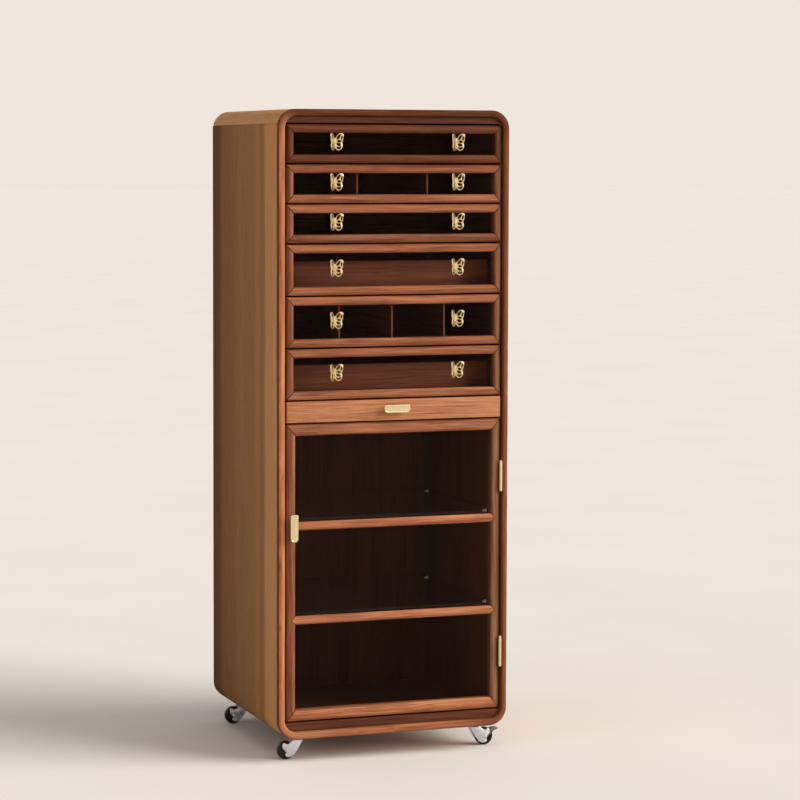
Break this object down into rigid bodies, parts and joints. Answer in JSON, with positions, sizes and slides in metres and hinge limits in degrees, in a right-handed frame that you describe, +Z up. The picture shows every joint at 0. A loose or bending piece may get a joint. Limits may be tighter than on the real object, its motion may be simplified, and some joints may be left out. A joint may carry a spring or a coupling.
{
  "type": "cabinet with drawers",
  "caption": "Tall narrow wooden cabinet with rounded corners, glazed drawers with butterfly pulls, a thin tray drawer and a glazed door below, standing on small swivel casters.",
  "frame": {"origin": "on the floor, under the middle of the bounding box", "axes": "+Z up, -Y out of the drawer fronts, +X to the right as seen from the front"},
  "size_m": [0.5, 0.4924, 1.334],
  "materials": {
    "case_wood": "oiled, satin",
    "front_wood": "stained and lacquered, satin",
    "tray_wood": "lacquered, satin",
    "inner_wood": "stained, matt",
    "clear_glass": "clear float glass",
    "brass": "satin cast brass",
    "zinc": "zinc-plated sheet",
    "wheel_rubber": "black rubber",
    "steel": "plated steel"
  },
  "bodies": {
    "case": {"top_cap": "case_wood", "bottom_cap": "case_wood", "left_side": "case_wood", "right_side": "case_wood", "front_rim": "front_wood", "back_panel": "case_wood", "partition": "case_wood", "shelf_upper": "clear_glass", "shelf_lower": "clear_glass", "hinge_upper_case_leaf": "brass", "hinge_lower_case_leaf": "brass", "catch_magnet": "steel"},
    "drawer_1": {"drawer_1_frame": "front_wood", "drawer_1_glass": "clear_glass", "drawer_1_box": "inner_wood", "drawer_1_pull_left": "brass", "drawer_1_pull_right": "brass"},
    "drawer_2": {"drawer_2_frame": "front_wood", "drawer_2_glass": "clear_glass", "drawer_2_box": "inner_wood", "drawer_2_pull_left": "brass", "drawer_2_pull_right": "brass"},
    "drawer_3": {"drawer_3_frame": "front_wood", "drawer_3_glass": "clear_glass", "drawer_3_box": "inner_wood", "drawer_3_pull_left": "brass", "drawer_3_pull_right": "brass"},
    "drawer_4": {"drawer_4_frame": "front_wood", "drawer_4_glass": "clear_glass", "drawer_4_box": "inner_wood", "drawer_4_pull_left": "brass", "drawer_4_pull_right": "brass"},
    "drawer_5": {"drawer_5_frame": "front_wood", "drawer_5_glass": "clear_glass", "drawer_5_box": "inner_wood", "drawer_5_pull_left": "brass", "drawer_5_pull_right": "brass"},
    "drawer_6": {"drawer_6_frame": "front_wood", "drawer_6_glass": "clear_glass", "drawer_6_box": "inner_wood", "drawer_6_pull_left": "brass", "drawer_6_pull_right": "brass"},
    "tray": {"tray_drawer": "tray_wood", "tray_pull": "brass"},
    "door": {"door_frame": "front_wood", "door_glass": "clear_glass", "door_handle": "brass", "hinge_upper_door_leaf": "brass", "hinge_lower_door_leaf": "brass", "catch_plate": "steel"},
    "caster_front_left": {"caster_front_left_fork": "zinc"},
    "caster_front_left_wheel": {"caster_front_left_wheel": "wheel_rubber"},
    "caster_front_right": {"caster_front_right_fork": "zinc"},
    "caster_front_right_wheel": {"caster_front_right_wheel": "wheel_rubber"},
    "caster_front_right_brake": {"caster_front_right_brake": "zinc"},
    "caster_back_left": {"caster_back_left_fork": "zinc"},
    "caster_back_left_wheel": {"caster_back_left_wheel": "wheel_rubber"},
    "caster_back_right": {"caster_back_right_fork": "zinc"},
    "caster_back_right_wheel": {"caster_back_right_wheel": "wheel_rubber"},
    "caster_back_right_brake": {"caster_back_right_brake": "zinc"}
  },
  "joints": [
    {"name": "drawer_1_slide", "type": "slide", "parent": "case", "child": "drawer_1", "axis": [0, -1, 0], "range_m": [0, 0.3]},
    {"name": "drawer_2_slide", "type": "slide", "parent": "case", "child": "drawer_2", "axis": [0, -1, 0], "range_m": [0, 0.3]},
    {"name": "drawer_3_slide", "type": "slide", "parent": "case", "child": "drawer_3", "axis": [0, -1, 0], "range_m": [0, 0.3]},
    {"name": "drawer_4_slide", "type": "slide", "parent": "case", "child": "drawer_4", "axis": [0, -1, 0], "range_m": [0, 0.3]},
    {"name": "drawer_5_slide", "type": "slide", "parent": "case", "child": "drawer_5", "axis": [0, -1, 0], "range_m": [0, 0.3]},
    {"name": "drawer_6_slide", "type": "slide", "parent": "case", "child": "drawer_6", "axis": [0, -1, 0], "range_m": [0, 0.3]},
    {"name": "tray_slide", "type": "slide", "parent": "case", "child": "tray", "axis": [0, -1, 0], "range_m": [0, 0.3]},
    {"name": "door_hinge", "type": "hinge", "parent": "case", "child": "door", "pos_m": [0.23325, -0.23326, 0.3915], "axis": [0, 0, 1], "range_deg": [0, 170]},
    {"name": "caster_front_left_swivel", "type": "hinge", "parent": "case", "child": "caster_front_left", "pos_m": [-0.195, -0.17876, 0.05], "axis": [0, 0, 1], "continuous": true},
    {"name": "caster_front_left_spin", "type": "hinge", "parent": "caster_front_left", "child": "caster_front_left_wheel", "pos_m": [-0.219, -0.17876, 0.01884], "axis": [0, 1, 0], "continuous": true},
    {"name": "caster_front_right_swivel", "type": "hinge", "parent": "case", "child": "caster_front_right", "pos_m": [0.195, -0.17876, 0.05], "axis": [0, 0, 1], "continuous": true},
    {"name": "caster_front_right_spin", "type": "hinge", "parent": "caster_front_right", "child": "caster_front_right_wheel", "pos_m": [0.219, -0.17876, 0.01884], "axis": [0, 1, 0], "continuous": true},
    {"name": "caster_front_right_brake_tip", "type": "hinge", "parent": "caster_front_right", "child": "caster_front_right_brake", "pos_m": [0.219, -0.17876, 0.01884], "axis": [0, 1, 0], "range_deg": [0, 12]},
    {"name": "caster_back_left_swivel", "type": "hinge", "parent": "case", "child": "caster_back_left", "pos_m": [-0.195, 0.20124, 0.05], "axis": [0, 0, 1], "continuous": true},
    {"name": "caster_back_left_spin", "type": "hinge", "parent": "caster_back_left", "child": "caster_back_left_wheel", "pos_m": [-0.219, 0.20124, 0.01884], "axis": [0, 1, 0], "continuous": true},
    {"name": "caster_back_right_swivel", "type": "hinge", "parent": "case", "child": "caster_back_right", "pos_m": [0.195, 0.20124, 0.05], "axis": [0, 0, 1], "continuous": true},
    {"name": "caster_back_right_spin", "type": "hinge", "parent": "caster_back_right", "child": "caster_back_right_wheel", "pos_m": [0.219, 0.20124, 0.01884], "axis": [0, 1, 0], "continuous": true},
    {"name": "caster_back_right_brake_tip", "type": "hinge", "parent": "caster_back_right", "child": "caster_back_right_brake", "pos_m": [0.219, 0.20124, 0.01884], "axis": [0, 1, 0], "range_deg": [0, 12]}
  ]
}
